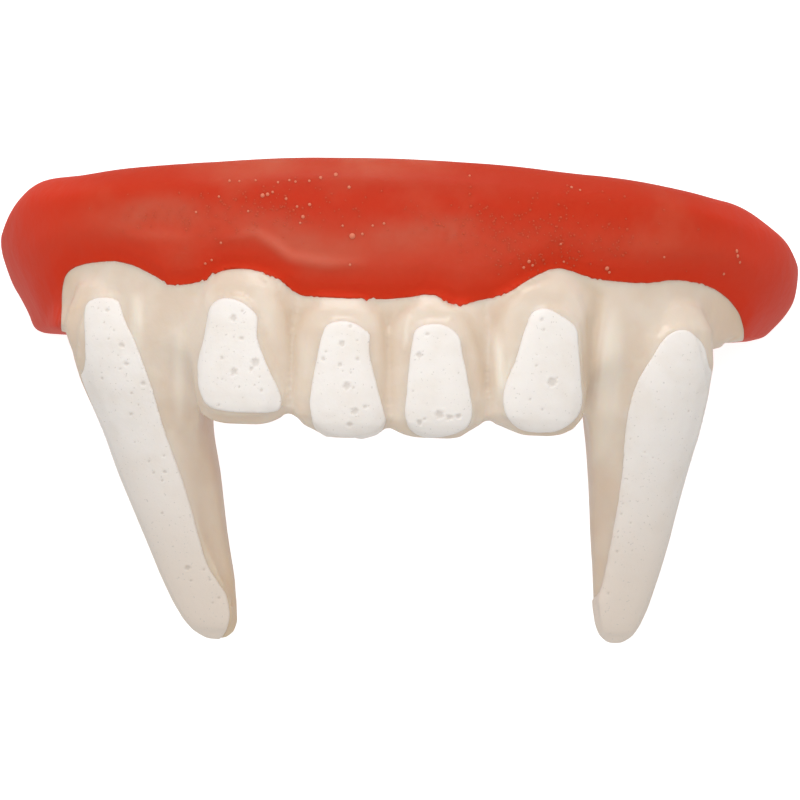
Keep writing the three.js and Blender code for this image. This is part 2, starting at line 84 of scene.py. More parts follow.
# %% [markdown]
# ## The camera
#
# The picture looks straight at the worn front. A short lens would make the middle teeth bulge towards the
# viewer, so the camera has a long one and stands 700 mm out along the worn out direction. It is turned a
# little about its own axis, because the teeth are tilted in the picture.

# %% Camera
CAMERA_DISTANCE = 700
PICTURE_WIDTH = 64
SENSOR_WIDTH = 36
LOOK_AT = (0.69, -4.85, 0)
ROLL = math.radians(2.1)
# metres between which the camera sees
CLIP_START = 0.01
CLIP_END = 10

right = (math.cos(ROLL), math.sin(ROLL), 0)
upward = (-math.sin(ROLL), math.cos(ROLL), 0)
origin = worn_to_scene([[0, 0, 0]])[0]
axes = worn_to_scene([right, upward, (0, 0, 1)]) - origin
turn = Matrix([Vector(axis).normalized() for axis in axes]).transposed().to_4x4()
place = worn_to_scene([(LOOK_AT[0], LOOK_AT[1], CAMERA_DISTANCE)])[0]
camera_data = bpy.data.cameras.new("camera")
camera_data.lens = SENSOR_WIDTH * CAMERA_DISTANCE / PICTURE_WIDTH
camera_data.sensor_width = SENSOR_WIDTH
camera_data.clip_start = CLIP_START
camera_data.clip_end = CLIP_END
camera = bpy.data.objects.new("camera", camera_data)
camera.matrix_world = Matrix.Translation(place) @ turn
scene.collection.objects.link(camera)
scene.camera = camera
print("camera at", [round(v, 3) for v in place], "lens", round(camera_data.lens, 1), "mm")

# %% [markdown]
# ## Floor and light
#
# The picture has a plain white ground and soft studio light from above. A curved paper sweep would be the
# photographer's way, but a plane is enough where nothing of the sweep shows. A big plane close to white is
# the table, and its own faint glow keeps it white under the soft shadows. A large lamp above the top edge
# of the picture gives the soft shine on the gum's rim, a smaller one stands in front, and a pale sky fills
# in the rest.

# %% Floor
# metres
TABLE_SIZE = 3
# how far under the teeth it lies, so that the two don't flicker
TABLE_DROP = 0.02
TABLE_GREY = 0.6
TABLE_GLOW = 0.85

bpy.ops.mesh.primitive_plane_add(size=TABLE_SIZE, location=(0, 0, -TABLE_DROP * MM))
table = bpy.context.object
table.name = "table"
table_material = bpy.data.materials.new("white_table")
table_material.use_nodes = True
table_shader = table_material.node_tree.nodes["Principled BSDF"]
table_shader.inputs["Base Color"].default_value = (TABLE_GREY, TABLE_GREY, TABLE_GREY, 1)
table_shader.inputs["Roughness"].default_value = 0.9
table_shader.inputs["Emission Color"].default_value = (1, 1, 1, 1)
table_shader.inputs["Emission Strength"].default_value = TABLE_GLOW
table.data.materials.append(table_material)
# the table throws neither light nor a mirror image back onto the teeth
table.visible_diffuse = False
table.visible_glossy = False
print("table:", TABLE_SIZE, "m wide")

# %% Light
SKY_COLOUR = (1, 0.99, 0.98, 1)
SKY_STRENGTH = 0.64

world = bpy.data.worlds.new("studio")
world.use_nodes = True
world.node_tree.nodes["Background"].inputs["Color"].default_value = SKY_COLOUR
world.node_tree.nodes["Background"].inputs["Strength"].default_value = SKY_STRENGTH
scene.world = world
scene.view_settings.view_transform = "Standard"


def add_lamp(name, worn_place, size, watts):
    """A square lamp that looks at the middle of the picture."""
    data = bpy.data.lights.new(name, "AREA")
    data.size = size * MM
    data.energy = watts
    lamp = bpy.data.objects.new(name, data)
    spot = Vector(worn_to_scene([worn_place])[0])
    aim = Vector(worn_to_scene([LOOK_AT])[0]) - spot
    lamp.matrix_world = Matrix.Translation(spot) @ aim.to_track_quat("-Z", "Y").to_matrix().to_4x4()
    scene.collection.objects.link(lamp)


add_lamp("lamp_above", worn_place=(-60, 520, 330), size=300, watts=1.5)
add_lamp("lamp_front", worn_place=(-120, 60, 640), size=260, watts=0.5)

# %% [markdown]
# ## One soft casting
#
# The real pours have run into each other. A plain union of the solids would keep every joint sharp, and
# metaballs would lose their shapes, so the melt is made with modifiers. The copies of the solid pieces are
# joined and swelled by half the gap between them, so that they touch. A voxel remesh then makes one skin
# around them, and shrinking it by the same amount brings back the size. Smoothing at the end melts the
# flat facets of the solids into the rounded, slightly slumped forms of vinyl.

# %% Copies of solids
# metres
MERGE_WITHIN = 0.000001


def only(*pieces):
    """Select these pieces and nothing else, with the first one active."""
    bpy.ops.object.select_all(action="DESELECT")
    for piece in pieces:
        piece.select_set(True)
    bpy.context.view_layer.objects.active = pieces[0]


def copy_of(node, name):
    """A copy of a solid with its loose triangles merged."""
    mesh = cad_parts[node].data.copy()
    mesh.materials.clear()
    piece = bpy.data.objects.new(name, mesh)
    scene.collection.objects.link(piece)
    only(piece)
    bpy.ops.object.mode_set(mode="EDIT")
    bpy.ops.mesh.select_all(action="SELECT")
    bpy.ops.mesh.remove_doubles(threshold=MERGE_WITHIN)
    bpy.ops.object.mode_set(mode="OBJECT")
    return piece


def second(piece, name):
    twin = piece.copy()
    twin.data = piece.data.copy()
    twin.name = name
    scene.collection.objects.link(twin)
    return twin


# %% Modifiers in short words
SMOOTH_FACTOR = 0.5


def modify(piece, kind, **settings):
    only(piece)
    modifier = piece.modifiers.new(kind.lower(), kind)
    for key, value in settings.items():
        setattr(modifier, key, value)
    bpy.ops.object.modifier_apply(modifier=modifier.name)


def swell(piece, millimetres):
    modify(piece, "DISPLACE", strength=millimetres * MM, mid_level=0)


def one_skin(piece, grain):
    modify(piece, "REMESH", mode="VOXEL", voxel_size=grain * MM)


def soften(piece, rounds, group=""):
    modify(piece, "SMOOTH", factor=SMOOTH_FACTOR, iterations=rounds, vertex_group=group)


def cut(piece, operation, tool):
    modify(piece, "BOOLEAN", operation=operation, object=tool, solver="MANIFOLD")


# %% [markdown]
# Beside each fang the vinyl fills the corner between the band and the fang, so the surface runs down from
# one to the other with no ledge. Smoothing alone would need so many rounds there that the fang's root
# would melt away. Plain wedges are set into the corners instead, before the melt.


# %% Closed blocks
def solid_between(name, first, last):
    """A closed block between two rings of worn points."""
    count = len(first)
    rings = worn_to_scene(np.concatenate([first, last]))
    sides = [(i, (i + 1) % count, (i + 1) % count + count, i + count) for i in range(count)]
    mesh = bpy.data.meshes.new(name)
    mesh.from_pydata(rings.tolist(), [], sides + [range(count)[::-1], range(count, 2 * count)])
    block = bpy.data.objects.new(name, mesh)
    scene.collection.objects.link(block)
    only(block)
    bpy.ops.object.mode_set(mode="EDIT")
    bpy.ops.mesh.select_all(action="SELECT")
    bpy.ops.mesh.normals_make_consistent(inside=False)
    bpy.ops.object.mode_set(mode="OBJECT")
    return block


# %% Wedges that fill the corners beside the fangs
# front and back of each wedge, with corners as (x, up, out): inner top, outer top, outer foot, inner foot
WEDGES = {
    "corner_left": (
        [(-14.9, -0.9, -1.7), (-20.0, -0.9, -3.2), (-18.9, -5.5, -4.1), (-15.3, -5.5, -3.9)],
        [(-14.9, 0.4, -7.0), (-20.0, 0.2, -7.5), (-18.9, -5.5, -8.0), (-15.3, -5.5, -8.0)]),
    "foot_left": (
        [(-15.3, -5.4, -3.9), (-18.9, -5.4, -4.1), (-17.9, -11.5, -5.9), (-14.9, -11.5, -7.6)],
        [(-15.3, -5.4, -8.0), (-18.9, -5.4, -8.0), (-17.9, -11.5, -9.5), (-15.1, -11.5, -9.5)]),
    "corner_right": (
        [(15.2, -1.1, -1.7), (20.0, -1.2, -3.3), (19.7, -5.5, -4.2), (15.4, -5.5, -4.0)],
        [(15.2, 1.0, -7.0), (20.3, 0.2, -7.5), (19.7, -5.5, -8.0), (15.4, -5.5, -8.0)]),
    "foot_right": (
        [(15.8, -5.4, -4.1), (19.7, -5.4, -4.2), (18.7, -12.5, -6.1), (16.5, -12.5, -7.9)],
        [(15.8, -5.4, -8.0), (19.7, -5.4, -8.0), (18.7, -12.5, -9.5), (16.6, -12.5, -9.5)]),
}
wedges = [solid_between(name, front, back) for name, (front, back) in WEDGES.items()]
print("wedges:", len(wedges))

# %% Join the solids and melt them together
HALF_GAP = 0.28
BODY_GRAIN = 0.21
BODY_SOFTENING = 10
FACES = ["lateral_face_left", "central_face_left", "central_face_right",
         "lateral_face_right", "fang_face_left", "fang_face_right"]

casting = copy_of("tooth_casting", "casting")
others = [copy_of(node, node + "_copy") for node in ["gum"] + FACES]
only(casting, *others, *wedges)
bpy.ops.object.join()
swell(casting, HALF_GAP)
one_skin(casting, BODY_GRAIN)
swell(casting, -HALF_GAP)
soften(casting, BODY_SOFTENING)
print("casting:", len(casting.data.polygons), "faces")

# %% [markdown]
# ## Where the red ends
#
# The gum's lower edge is a wavy line that climbs over each root and dips between them. A painted mask would
# give it too, but a mask is a picture. So it is a short table of places along the row and heights, rounded
# off between them. In a few places thin runs of cream have crept over it, and there it gets a ragged edge.

# %% Gum line
FAR = 45
CURTAIN_FOOT = -14.0
GUM_LINE = [
    (-27.0, CURTAIN_FOOT), (-27.0, 1.2), (-27.05, 3.0), (-26.8, 4.3), (-26.1, 4.9), (-25.0, 5.24),
    (-23.7, 5.43), (-22.4, 5.48), (-21.0, 5.14), (-19.6, 4.5), (-18.1, 3.66), (-16.5, 3.8), (-15.2, 4.25),
    (-14.2, 4.9), (-13.3, 5.1), (-12.3, 5.2), (-11.4, 5.13), (-10.4, 4.85), (-9.4, 4.48), (-8.5, 3.76),
    (-7.5, 3.16), (-5.5, 3.12), (-3.6, 3.1), (-0.6, 3.16), (1.3, 3.4), (2.3, 3.65), (3.3, 3.64), (4.3, 2.94),
    (5.3, 2.87), (6.2, 3.2), (8.2, 3.7), (9.2, 4.1), (10.1, 4.8), (11.1, 5.42), (12.1, 5.97), (13.0, 6.2),
    (14.0, 6.0), (15.0, 5.65), (16.1, 5.4), (17.6, 5.29), (19.2, 5.22), (20.6, 5.29), (22.0, 5.59),
    (23.4, 5.6), (24.7, 5.4), (25.9, 5.0), (27.0, 4.31), (28.0, 3.2), (28.5, 1.9), (28.6, 0.4),
    (28.4, CURTAIN_FOOT)]
# stretches with a ragged edge: middle, half length and height of the raggedness
RAGGED = [(-18.0, 1.0, 0.26), (-15.2, 0.9, 0.32), (-9.6, 1.6, 0.32), (-6.5, 0.8, 0.2), (-2.2, 0.9, 0.22),
          (4.8, 1.3, 0.38), (8.6, 1.2, 0.2), (16.0, 0.9, 0.18), (24.6, 1.2, 0.14)]
RAG_GRAIN = 0.5
FINE_RAG_GRAIN = 0.22
RAG_EVERYWHERE = 0.035
ROUNDING = 0.9
EDGE_STEP = 0.09


def along(points, step):
    """Points at even steps along a line, with its corners rounded."""
    points = np.asarray(points, dtype=float)
    lengths = np.concatenate([[0], np.cumsum(np.linalg.norm(np.diff(points, axis=0), axis=1))])
    places = np.arange(0, lengths[-1], step)
    line = np.stack([np.interp(places, lengths, points[:, k]) for k in (0, 1)], axis=1)
    reach = int(ROUNDING / step)
    bell = np.exp(-np.linspace(-2, 2, 2 * reach + 1) ** 2)
    bell /= bell.sum()
    padded = np.pad(line, ((reach, reach), (0, 0)), mode="edge")
    return np.stack([np.convolve(padded[:, k], bell, mode="valid") for k in (0, 1)], axis=1)


def ragged_height(x):
    height = RAG_EVERYWHERE * noise.noise((x / RAG_GRAIN, 7, 0))
    for middle, half_length, tall in RAGGED:
        near = max(0, 1 - ((x - middle) / half_length) ** 2)
        coarse = noise.noise((x / RAG_GRAIN, 3, 0))
        fine = noise.noise((x / FINE_RAG_GRAIN, 5, 0))
        height += near * tall * (coarse + 0.5 * fine)
    return height


gum_edge = along(GUM_LINE, EDGE_STEP)
gum_edge[:, 1] += [ragged_height(x) for x in gum_edge[:, 0]]
print("gum edge:", len(gum_edge), "points, from", gum_edge[0].round(1), "to", gum_edge[-1].round(1))

# %% Height above the gum line
edge_tree = KDTree(len(gum_edge))
for index, (edge_x, edge_up) in enumerate(gum_edge):
    edge_tree.insert((edge_x, edge_up, 0), index)
edge_tree.balance()


def above_gum_line(points):
    """How far each point is seen above the gum line, with a minus sign for those below it."""
    x, up = points[:, :2].T
    away = np.array([edge_tree.find((a, b, 0))[2] for a, b in zip(x, up)])
    line = np.interp(x, gum_edge[:, 0], gum_edge[:, 1], left=-FAR, right=-FAR)
    return np.where(up > line, away, -away)


print("a point at the rim is", above_gum_line(np.array([[0, 14, 0]])).round(1), "mm above the gum line")

# %% [markdown]
# ## Shaping
#
# The melted body is then shaped like soft clay. Sculpt brushes would do this in a window, and these two
# helpers do the same in a script that gives one result each time. `nudge` pulls a soft round patch, as a
# grab brush does. `press` pushes a groove or raises a roll along a drawn path on the front, as a crease
# brush does.


# %% Points of a piece in worn millimetres
def worn_points(piece):
    flat = np.empty(len(piece.data.vertices) * 3)
    piece.data.vertices.foreach_get("co", flat)
    return scene_to_worn(flat.reshape(-1, 3))


def set_worn_points(piece, points):
    piece.data.vertices.foreach_set("co", worn_to_scene(points).ravel())
    piece.data.update()


def outward(piece):
    """The direction that each point faces, in worn terms."""
    flat = np.empty(len(piece.data.vertices) * 3)
    piece.data.vertices.foreach_get("normal", flat)
    return scene_to_worn(flat.reshape(-1, 3) * MM) - scene_to_worn([[0, 0, 0]])[0]


print("the casting is", np.ptp(worn_points(casting), axis=0).round(1), "mm wide, tall and deep as worn")


# %% Grab brush
def fade(distance, start, end):
    """Rises softly from 0 at the start to 1 at the end."""
    share = np.clip((np.asarray(distance, dtype=float) - start) / (end - start), 0, 1)
    return share * share * (3 - 2 * share)


def nudge(points, centre, reach, move):
    away = np.linalg.norm((points - np.array(centre)) / np.array(reach), axis=1)
    return points + np.outer(1 - fade(away, 0, 1), move)


# %% Nudge fangs, corners and ends into place
# middle and reach, both as (x, up, out), and the move
NUDGES = [
    ((-25.5, -3.4, -8), (5, 7, 14), (-0.42, 0, 0)),
    ((-26.6, 0.2, -9), (3, 2.2, 10), (-0.45, 0, 0)),
    ((-13.6, -8.0, -7), (3, 4, 6), (-0.3, 0, 0)),
    ((31.5, 3.8, -20), (6, 7, 18), (0.8, 0, 0)),
    ((-31.3, 2.4, -27), (4, 5, 18), (0.45, 0, 0)),
    ((-29.5, 10.5, -14), (5, 4, 14), (-0.15, 0.12, 0)),
    ((28.5, 9.5, -13), (4, 3, 12), (-0.25, -0.3, 0)),
    ((27.0, 11.8, -14), (4.5, 3.5, 12), (-0.05, -0.12, 0)),
    ((29.6, 11.4, -17), (4.0, 3.0, 12), (-0.1, -0.45, 0)),
    ((-30.3, -0.6, -22), (3.5, 2.2, 14), (-0.35, 0.1, 0)),
    ((-29.6, -2.4, -22), (3.5, 1.8, 12), (0, 0.6, 0)),
    ((18, 12, -3), (8, 3, 6), (0, 0.28, 0)),
    ((24.2, -12.0, -9), (3.5, 9, 9), (-0.3, 0, 0)),
    ((0, -8.6, 0), (18, 3.0, 5), (0, 0.12, 0)),
    ((28.6, 8.6, -17), (3.5, 3, 12), (0.3, 0.1, 0)),
    ((-7.2, -7.2, 0), (2.2, 1.6, 4), (0, 0.5, 0)),
    ((9.3, -6.9, 0), (2, 1.6, 4), (0, 0.4, 0)),
    ((6.6, -7.4, 0), (1.3, 1.2, 4), (0, 0.25, 0)),
    ((-6.2, -8.0, 0), (1.8, 1.2, 4), (0, 0.35, 0)),
]
points = worn_points(casting)
for centre, reach, move in NUDGES:
    points = nudge(points, centre, reach, move)
set_worn_points(casting, points)
print("nudges:", len(NUDGES))

# %% [markdown]
# On the real thing the gum, the corners beside the fangs and the fang tips are rounder than the rest.
# Smoothing the whole casting more would blur the teeth too, so only soft-edged zones of it get the extra
# rounds.

# %% Zones to soften
# each zone as (starts, full, still full, ends) along x or up
CORNER_ZONES = [(-20.6, -19.6, -15.6, -15.0), (15.4, 16.0, 20.3, 21.4)]
CORNER_HEIGHTS = (-16, -11, 1.2, 3.2)
FLANK_HEIGHTS = (-21, -17, -8.0, -7.0)
FLANK_STARTS = (12.0, 13.0)
GUM_STARTS = (0.9, 3.0)
TIP_STARTS = (22.5, 24.0)
FANG_FOLD = (-12.6, -21.7)
FOLD_REACH = (0.8, 1.8)
STRENGTH_STEPS = 10


def zone(values, starts, full, still_full, ends):
    return fade(values, starts, full) * (1 - fade(values, still_full, ends))


def soften_where(piece, weights, rounds):
    """Soften only where the weights say so, in ten steps of strength."""
    group = piece.vertex_groups.new(name="soft")
    steps = np.round(np.clip(weights, 0, 1) * STRENGTH_STEPS).astype(int)
    for step in range(1, STRENGTH_STEPS + 1):
        group.add(np.flatnonzero(steps == step).tolist(), step / STRENGTH_STEPS, "REPLACE")
    soften(piece, rounds, group.name)
    piece.vertex_groups.clear()


# %% Soften gum, corners, flanks and tips
soften_where(casting, fade(above_gum_line(worn_points(casting)), *GUM_STARTS), rounds=60)
x, up = worn_points(casting)[:, :2].T
corners = sum(zone(x, *corner) for corner in CORNER_ZONES) * zone(up, *CORNER_HEIGHTS)
soften_where(casting, corners, rounds=140)
soften_where(casting, fade(np.abs(x), *FLANK_STARTS) * zone(up, *FLANK_HEIGHTS), rounds=45)
soften_where(casting, fade(-up, *TIP_STARTS), rounds=14)
fold_away = np.hypot(x - FANG_FOLD[0], up - FANG_FOLD[1])
soften_where(casting, 1 - fade(fold_away, *FOLD_REACH), rounds=60)
print("softened most beside the fangs:", int((corners > 0.5).sum()), "points")

# %% [markdown]
# Between the teeth run shallow grooves, each fang has a ridge, and the gum rolls over the roots. They are a
# few tenths of a millimetre deep, but the shine shows them. A bump in the material would vanish from the
# mesh, so they are pressed into it.

# %% Crease brush
STROKE_STEP = 0.2
STROKE_HALF_SPAN = 9
TAPER_START = 0.12
TAPER_POWER = 0.6
FACING_FRONT = (0.1, 0.4)


def stroke_weight(points, width, path):
    """How strongly a drawn stroke acts on each point: most on its line, and less at its two ends."""
    line = along(path, STROKE_STEP)
    taper = np.sin(np.linspace(TAPER_START, math.pi - TAPER_START, len(line))) ** TAPER_POWER
    near = np.zeros(len(points))
    close = np.abs(points[:, 0] - line[:, 0].mean()) < STROKE_HALF_SPAN
    for (x, up), strength in zip(line, taper):
        away = (points[close, 0] - x) ** 2 + (points[close, 1] - up) ** 2
        near[close] = np.maximum(near[close], strength * np.exp(-away / width ** 2))
    return near


def press(piece, strokes):
    points, normals = worn_points(piece), outward(piece)
    facing = fade(normals[:, 2], *FACING_FRONT)
    total = np.zeros(len(points))
    for width, height, path in strokes:
        total += stroke_weight(points, width, path) * height * facing
    set_worn_points(piece, points + normals * total[:, None])
    return total


# %% Creases and rolls
# width, height (grooves are negative) and the path as (x, up)
STROKES = [
    (0.32, -0.12, [(-11.2, 4.6), (-9.8, 3.8), (-8.7, 2.2), (-8.2, 0.9), (-8.0, -1.8), (-8.0, -4.9)]),
    (0.32, -0.10, [(-6.2, 2.7), (-7.5, 1.7), (-8.0, 0.6)]),
    (0.32, -0.12, [(-2.4, 2.9), (-1.1, 2.0), (-0.6, 0.9), (-0.4, -1.7), (-0.4, -5.4)]),
    (0.32, -0.10, [(1.7, 3.0), (0.1, 2.0), (-0.5, 0.7)]),
    (0.32, -0.12, [(4.8, 2.8), (6.1, 1.7), (7.0, -0.5), (7.6, -3.2), (7.8, -5.2)]),
    (0.32, -0.10, [(7.8, 0.2), (7.8, 1.4), (8.7, 3.1), (10.3, 4.5), (12.5, 5.4)]),
    (0.40, -0.14, [(14.7, 5.3), (16.1, 4.2), (16.2, 2.6), (15.9, 0.5)]),
    (0.35, -0.20, [(16.1, 2.4), (16.0, -1.5), (16.0, -5.0)]),
    (0.80, 0.30, [(17.4, 2.8), (17.4, -2.0), (17.2, -5.0), (16.9, -9.0)]),
    (0.45, 0.22, [(-20.8, 2.8), (-20.6, -1.6)]),
    (0.45, 0.15, [(-17.3, 0.1), (-16.9, -7.9)]),
    (0.40, 0.20, [(8.0, 1.0), (8.5, -1.5), (8.7, -4.6)]),
    (0.20, 0.12, [(1.2, 1.9), (0.9, 0.9), (1.0, 0.0), (0.7, -1.1)]),
    (0.20, 0.10, [(-10.6, 4.6), (-9.9, 3.9), (-9.5, 3.1)]),
    (0.18, 0.10, [(4.4, 2.0), (4.4, 1.3)]),
    (0.50, 0.14, [(-13.8, 7.6), (-11.4, 8.2), (-9.9, 7.4), (-8.5, 6.3), (-5.5, 5.9), (-2.2, 6.1)]),
    (0.60, 0.08, [(-22.2, 7.6), (-19.0, 7.7), (-15.7, 7.5)]),
]
# what the smoothing took away all over
LAST_SWELL = 0.04

creases = press(casting, STROKES)
swell(casting, LAST_SWELL)
bpy.ops.object.shade_smooth()
print("strokes:", len(STROKES), "deepest", round(float(creases.min()), 2), "mm")

# %% [markdown]
# ## Parting gum and teeth
#
# One skin can't hold two bodies, so the casting is parted where the red ends. Two colours on one mesh would
# look the same, but then the gum couldn't be taken as a piece of its own. Three cutters say which side is
# gum. One is a curtain with the gum line as its lower edge. One fills the space behind the cream band,
# where the gum's own wall goes down, and one takes the legs. What lies inside them becomes the gum, and
# what lies outside becomes the teeth, so both are closed bodies that meet exactly.

# %% Front of the arch
ARCH_HALF_WIDTH = 32.55
ARCH_DEPTH = 30
ARCH_SQUARENESS = 2.6
ARCH_SWEEP = math.radians(88)
ARCH_POINTS = 81


def arch_front(x):
    """How far out the front of the arch lies: 0 in the middle and less towards its ends."""
    share = np.clip(np.abs(x) / ARCH_HALF_WIDTH, 0, 1) ** ARCH_SQUARENESS
    return ARCH_DEPTH * ((1 - share) ** (1 / ARCH_SQUARENESS) - 1)


arch_x = ARCH_HALF_WIDTH * np.sin(np.linspace(-1, 1, ARCH_POINTS) * ARCH_SWEEP)
arch = np.stack([arch_x, arch_front(arch_x)], axis=1)
print("the arch runs back to", arch[0].round(1), "and", arch[-1].round(1))

# %% Cutters
FACING_DEPTH = 2.6
BACKING_FOOT = -0.35
LEGS_FOOT = -3.8
LEGS_START_LEFT = -9.6
LEGS_START_RIGHT = -18.8

ring = np.vstack([gum_edge, [(FAR, CURTAIN_FOOT), (FAR, FAR), (-FAR, FAR), (-FAR, CURTAIN_FOOT)]])
curtain = solid_between("curtain", np.insert(ring, 2, FAR, axis=1), np.insert(ring, 2, -FAR, axis=1))
# the arch is set back square to its own run, and where it then folds over, those points are dropped
run = np.gradient(arch, axis=0)
run /= np.linalg.norm(run, axis=1)[:, None]
behind = arch + FACING_DEPTH * np.stack([run[:, 1], -run[:, 0]], axis=1)
behind = behind[np.concatenate([[True], np.diff(behind[:, 0]) > 0])]
behind = np.vstack([behind, [(FAR, behind[-1, 1]), (FAR, -FAR), (-FAR, -FAR), (-FAR, behind[0, 1])]])
backing = solid_between("backing", np.insert(behind, 1, BACKING_FOOT, axis=1),
                        np.insert(behind, 1, FAR, axis=1))
legs = solid_between("legs", [(-FAR, LEGS_FOOT, LEGS_START_LEFT), (FAR, LEGS_FOOT, LEGS_START_RIGHT),
                              (FAR, FAR, LEGS_START_RIGHT), (-FAR, FAR, LEGS_START_LEFT)],
                     [(-FAR, LEGS_FOOT, -FAR), (FAR, LEGS_FOOT, -FAR), (FAR, FAR, -FAR), (-FAR, FAR, -FAR)])
cut(curtain, "UNION", backing)
cut(curtain, "UNION", legs)
print("cutters:", len(curtain.data.polygons), "faces")

# %% Part the casting
# the gum is large and even, so half its faces show it as well
GUM_FACES_KEPT = 0.5

shell_outer = second(casting, "shell_outer")
gum = second(casting, "vinyl_gum")
cut(gum, "INTERSECT", curtain)
modify(gum, "DECIMATE", ratio=GUM_FACES_KEPT)
teeth = second(casting, "vinyl_teeth")
cut(teeth, "DIFFERENCE", curtain)
print("gum:", len(gum.data.polygons), "faces, teeth:", len(teeth.data.polygons), "faces")

# %% [markdown]
# ## White faces
#
# The white was brushed or poured into each tooth's face first, so it follows the tooth and stands a hair
# proud of the cream. A separate patch laid over the tooth would float or sink somewhere. So each one is cut
# out of a thin skin of the casting, with a cutter drawn as seen from the front. The cutter widens away from
# the camera as sight lines do.

# %% Outlines of the white faces
OUTLINES = {
    "lateral_face_left": [
        (-14.7, 2.1), (-13.7, 2.8), (-12.3, 2.5), (-11, 1.5), (-10.9, -0.3), (-10.1, -2.3), (-9, -4.5),
        (-8.8, -5.6), (-9.4, -6.2), (-12.4, -6.3), (-14.4, -6), (-15.3, -4.9), (-15.6, -2.7), (-15.2, -0.5),
        (-15.0, 0.9)],
    "central_face_left": [
        (-5.8, -0.1), (-5.3, 1), (-4.1, 1.3), (-2.8, 1), (-1.9, 0.2), (-1.9, -1.1), (-1.3, -3.4),
        (-0.6, -5.7), (-0.4, -6.7), (-1.1, -7.7), (-3.6, -8.3), (-5.8, -7.6), (-6.4, -6.2), (-6.5, -4.8),
        (-6.1, -1.8)],
    "central_face_right": [
        (1.5, -0.1), (1.8, 0.9), (2.8, 1.3), (4.2, 1.2), (5.2, 0.4), (5.6, -1.2), (6.2, -3.8), (6.5, -5.8),
        (5.8, -7.1), (3.4, -7.8), (1.7, -7.3), (1.1, -5.9), (1.2, -4), (1.3, -2.1)],
    "lateral_face_right": [
        (10.5, 1.3), (11, 2.5), (12, 2.9), (13.1, 2.5), (14.5, 1.5), (14.8, 0.1), (15.1, -2.7), (15.2, -5),
        (14.2, -6.4), (12.7, -7), (10.5, -6.9), (9.3, -5.9), (8.9, -4.5), (9.2, -2.9), (9.8, -1.4),
        (10.1, -0.2)],
    "fang_face_left": [
        (-24.8, 1), (-24.6, 2), (-23.4, 2.5), (-22.1, 2.2), (-21.6, 0.9), (-20.4, -1.6), (-19.1, -4.8),
        (-18.1, -7.8), (-16.2, -12.6), (-14.4, -18.1), (-13.4, -19.8), (-12.6, -21), (-12.3, -22.6),
        (-12.5, -23.7), (-13.1, -24.6), (-14.2, -25.4), (-15.8, -25.1), (-18.8, -20), (-23.1, -11.3),
        (-26.6, -6.6), (-25.8, -4.9), (-24.9, -3.8), (-24.6, -2.8), (-24.7, -0.6)],
    "fang_face_right": [
        (20.7, -0.7), (21.8, 1), (23.1, 1.6), (24.2, 1.1), (25.0, 0), (25.3, -1.3), (26.2, -2.5),
        (26.8, -4.5), (26.9, -7.0), (26.1, -9.5), (24.3, -16.8), (22.1, -21.7), (19.3, -25.4),
        (17.6, -24.8), (16.6, -23.2), (16.3, -21.8), (16.6, -20.3), (17.3, -19.3), (17.9, -16),
        (18.6, -10.7), (18.8, -6.5), (19.2, -4), (19.8, -2.3)],
}
OUTLINE_STEP = 0.3
WOBBLE = 0.05
WOBBLE_GRAIN = 0.7


def closed_curve(points, step):
    """A smooth closed line through the points, with a slight wobble."""
    points = np.asarray(points, dtype=float)
    before, after, far = (np.roll(points, shift, axis=0) for shift in (1, -1, -2))
    line = []
    for p0, p1, p2, p3 in zip(before, points, after, far):
        count = max(1, round(float(np.linalg.norm(p2 - p1)) / step))
        for t in np.arange(count) / count:
            line.append(0.5 * (2 * p1 + (p2 - p0) * t + (2 * p0 - 5 * p1 + 4 * p2 - p3) * t ** 2
                               + (3 * p1 - p0 - 3 * p2 + p3) * t ** 3))
    wobble = [[WOBBLE * noise.noise((x / WOBBLE_GRAIN, up / WOBBLE_GRAIN, layer)) for layer in (1, 9)]
              for x, up in line]
    return np.array(line) + wobble


print("outlines:", {node: len(outline) for node, outline in OUTLINES.items()})

# %% Cutters for the white faces
CUTTER_FRONT = 6.0
FANG_CUTTER_BACK = -6.6
FANG_CUTTER_SLANT = 0.31
TOOTH_CUTTER_BACK = -1.7
TOOTH_CUTTER_LIFT = 1.1
TOOTH_EDGE = (2.5, 6.5)


def seen_at(line, out):
    """Where a line drawn at the arch's front meets the sight lines further in."""
    scale = ((CAMERA_DISTANCE - out) / CAMERA_DISTANCE)[:, None]
    flat = (line - LOOK_AT[:2]) * scale + LOOK_AT[:2]
    return np.column_stack([flat, out])


def cutter_back(node, up):
    """Follows a fang back to its tip, and stays in front of the back of a small tooth's thin edge."""
    if "fang" in node:
        return FANG_CUTTER_BACK + FANG_CUTTER_SLANT * up
    return TOOTH_CUTTER_BACK + TOOTH_CUTTER_LIFT * fade(-up, *TOOTH_EDGE)


def face_cutter(node, outline):
    line = closed_curve(outline, OUTLINE_STEP)
    front = seen_at(line, np.full(len(line), CUTTER_FRONT))
    return solid_between(node + "_cutter", front, seen_at(line, cutter_back(node, line[:, 1])))


def biggest_part(piece):
    """Drop the loose crumbs that a cut leaves."""
    name = piece.name
    only(piece)
    bpy.ops.object.mode_set(mode="EDIT")
    bpy.ops.mesh.separate(type="LOOSE")
    bpy.ops.object.mode_set(mode="OBJECT")
    *crumbs, biggest = sorted(bpy.context.selected_objects, key=lambda part: len(part.data.polygons))
    for crumb in crumbs:
        bpy.data.objects.remove(crumb)
    biggest.name = name
    only(biggest)
    return biggest


# %% Cut the white faces
WHITE_PROUD = 0.12
WHITE_DEPTH = 0.5
WHITE_GRAIN = 0.11
WHITE_SOFTENING = 5

